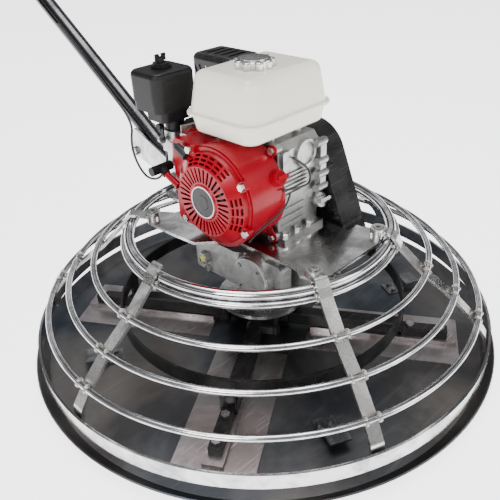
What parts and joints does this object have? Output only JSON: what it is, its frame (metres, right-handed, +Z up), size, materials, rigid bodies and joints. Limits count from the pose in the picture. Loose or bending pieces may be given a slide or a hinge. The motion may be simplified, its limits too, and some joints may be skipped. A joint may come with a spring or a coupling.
{
  "type": "power trowel",
  "caption": "Walk-behind concrete power trowel: small engine and worm gearbox turning bladed arms on a round float pan inside a ringed guard, with a sloping tube handle.",
  "frame": {"origin": "under side of the float pan, on the rotor axis", "axes": "+Z up along the rotor axis, +Y towards the handle, -X towards the recoil starter, +X towards the belt drive"},
  "size_m": [0.9939, 1.7928, 1.046],
  "materials": {
    "pan_steel": "scuffed bare steel with blue heat tints",
    "blade_steel": "worn bare spring steel",
    "deck_steel": "bright plated plate",
    "guard_chrome": "bright plating, dull at the welds",
    "handle_chrome": "dark bright plating",
    "zinc": "bright zinc plating",
    "cast_alloy": "rough cast alloy",
    "cap_alloy": "polished",
    "bronze": "machined bronze",
    "black_paint": "semi-gloss black",
    "red_paint": "gloss red",
    "cream_paint": "gloss cream white",
    "black_plastic": "satin",
    "black_rubber": "matt",
    "oil_glass": "oil seen through a clear window"
  },
  "bodies": {
    "frame": {"deck_plate": "deck_steel", "guard_top_rings": "guard_chrome", "guard_rings": "guard_chrome", "guard_straps": "guard_chrome", "fasteners": "zinc", "gearbox_housing": "cast_alloy", "gearbox_cover": "cast_alloy", "gearbox_bearings": "zinc", "bearing_cap": "cast_alloy", "sight_glass": "oil_glass", "drive_belt": "black_rubber", "belt_guard": "black_paint", "crankcase": "cast_alloy", "side_cover": "cast_alloy", "cylinder_head": "cast_alloy", "rocker_cover": "zinc", "fan_cover": "red_paint", "recoil_housing": "red_paint", "fuel_tank": "cream_paint", "carburetor": "cast_alloy", "air_cleaner_base": "black_plastic", "muffler": "zinc", "muffler_shield": "black_paint", "spark_plug": "black_rubber", "switch_wire": "black_rubber", "throttle_cable": "black_rubber", "handle_bracket": "guard_chrome"},
    "rotor": {"output_shaft": "zinc", "worm_wheel": "bronze", "spider_hub": "black_paint", "stabiliser_ring": "black_paint"},
    "pressure_plate": {"pressure_plate": "zinc"},
    "pan": {"pan": "pan_steel", "pan_clips": "zinc"},
    "yoke": {"yoke": "black_paint"},
    "worm": {"worm_shaft": "zinc", "gearbox_pulley": "black_paint"},
    "clutch_drum": {"clutch_drum": "zinc"},
    "crank": {"crankshaft": "zinc", "flywheel": "cast_alloy", "clutch_hub": "zinc"},
    "starter_reel": {"starter_reel": "black_plastic"},
    "starter_grip": {"starter_grip": "black_plastic"},
    "choke_lever": {"choke_lever": "black_plastic"},
    "engine_switch": {"engine_switch": "red_paint"},
    "fuel_cap": {"fuel_cap": "cap_alloy"},
    "oil_cap": {"oil_cap": "cap_alloy"},
    "air_cleaner_cover": {"air_cleaner_cover": "black_plastic"},
    "handle": {"handle_tube": "handle_chrome", "handle_grips": "black_rubber"},
    "pitch_wheel": {"pitch_wheel": "black_paint"},
    "throttle_lever": {"throttle_lever": "zinc"},
    "arm_1": {"trowel_arm_1": "black_paint", "blade_1": "blade_steel"},
    "arm_2": {"trowel_arm_2": "black_paint", "blade_2": "blade_steel"},
    "arm_3": {"trowel_arm_3": "black_paint", "blade_3": "blade_steel"},
    "arm_4": {"trowel_arm_4": "black_paint", "blade_4": "blade_steel"}
  },
  "joints": [
    {"name": "rotor_spin", "type": "hinge", "parent": "frame", "child": "rotor", "pos_m": [0, 0, 0.1], "axis": [0, 0, 1], "continuous": true},
    {"name": "worm_spin", "type": "hinge", "parent": "frame", "child": "worm", "pos_m": [0, -0.0925, 0.224], "axis": [1, 0, 0], "continuous": true},
    {"name": "clutch_drum_spin", "type": "hinge", "parent": "frame", "child": "clutch_drum", "pos_m": [0.12, -0.029, 0.381], "axis": [1, 0, 0], "continuous": true},
    {"name": "crank_spin", "type": "hinge", "parent": "frame", "child": "crank", "pos_m": [0, -0.029, 0.381], "axis": [1, 0, 0], "continuous": true},
    {"name": "arm_pitch_1", "type": "hinge", "parent": "rotor", "child": "arm_1", "pos_m": [0, 0, 0.0308], "axis": [0.8526, 0.5225, 0], "range_deg": [0, 15]},
    {"name": "arm_pitch_2", "type": "hinge", "parent": "rotor", "child": "arm_2", "pos_m": [0, 0, 0.0308], "axis": [-0.5225, 0.8526, 0], "range_deg": [0, 15]},
    {"name": "arm_pitch_3", "type": "hinge", "parent": "rotor", "child": "arm_3", "pos_m": [0, 0, 0.0308], "axis": [-0.8526, -0.5225, 0], "range_deg": [0, 15]},
    {"name": "arm_pitch_4", "type": "hinge", "parent": "rotor", "child": "arm_4", "pos_m": [0, 0, 0.0308], "axis": [0.5225, -0.8526, 0], "range_deg": [0, 15]},
    {"name": "pressure_plate_slide", "type": "slide", "parent": "rotor", "child": "pressure_plate", "axis": [0, 0, -1], "range_m": [0, 0.0135]},
    {"name": "pan_slide", "type": "slide", "parent": "rotor", "child": "pan", "axis": [0, 0, -1], "range_m": [0, 0.02]},
    {"name": "yoke_pitch", "type": "hinge", "parent": "frame", "child": "yoke", "pos_m": [0, 0.07, 0.132], "axis": [1, 0, 0], "range_deg": [0, 10.9]},
    {"name": "handle_tilt", "type": "hinge", "parent": "frame", "child": "handle", "pos_m": [0, 0.24, 0.305], "axis": [1, 0, 0], "range_deg": [0, 45]},
    {"name": "pitch_wheel_spin", "type": "hinge", "parent": "handle", "child": "pitch_wheel", "pos_m": [0, 1.19253, 0.96703], "axis": [0, 0.8211, 0.5707], "range_deg": [0, 1081]},
    {"name": "throttle_lever_pivot", "type": "hinge", "parent": "handle", "child": "throttle_lever", "pos_m": [0.158, 1.12364, 0.9435], "axis": [0, -0.5707, 0.8211], "range_deg": [0, 60]},
    {"name": "starter_reel_spin", "type": "hinge", "parent": "frame", "child": "starter_reel", "pos_m": [-0.155, -0.029, 0.381], "axis": [1, 0, 0], "range_deg": [0, 573], "stiffness_Nm_per_rad": 0.02, "springref_deg": -114.59},
    {"name": "starter_grip_pull", "type": "slide", "parent": "frame", "child": "starter_grip", "axis": [0, 0.9063, 0.4226], "range_m": [0, 0.451]},
    {"name": "choke_lever_pivot", "type": "hinge", "parent": "frame", "child": "choke_lever", "pos_m": [-0.1295, 0.122, 0.452], "axis": [1, 0, 0], "range_deg": [0, 60]},
    {"name": "engine_switch_turn", "type": "hinge", "parent": "frame", "child": "engine_switch", "pos_m": [-0.072, -0.12242, 0.42194], "axis": [0, -0.9159, 0.4014], "range_deg": [0, 60]},
    {"name": "fuel_cap_lift", "type": "slide", "parent": "frame", "child": "fuel_cap", "axis": [0, 0, 1], "range_m": [0, 0.08]},
    {"name": "oil_cap_pull", "type": "slide", "parent": "frame", "child": "oil_cap", "axis": [0, -0.9397, 0.342], "range_m": [0, 0.06]},
    {"name": "air_cleaner_cover_lift", "type": "slide", "parent": "frame", "child": "air_cleaner_cover", "axis": [0, 0, 1], "range_m": [0, 0.12]}
  ],
  "couplings": [
    {"joint": "worm_spin", "follows": "rotor_spin", "ratio": -27},
    {"joint": "clutch_drum_spin", "follows": "rotor_spin", "ratio": -36},
    {"joint": "arm_pitch_2", "follows": "arm_pitch_1", "ratio": 1},
    {"joint": "arm_pitch_3", "follows": "arm_pitch_1", "ratio": 1},
    {"joint": "arm_pitch_4", "follows": "arm_pitch_1", "ratio": 1},
    {"joint": "pressure_plate_slide", "follows": "arm_pitch_1", "m_per_rad": 0.05},
    {"joint": "pan_slide", "follows": "arm_pitch_1", "m_per_rad": 0.0755},
    {"joint": "yoke_pitch", "follows": "arm_pitch_1", "ratio": 0.7187},
    {"joint": "pitch_wheel_spin", "follows": "arm_pitch_1", "ratio": 72},
    {"joint": "starter_grip_pull", "follows": "starter_reel_spin", "m_per_rad": 0.045}
  ]
}
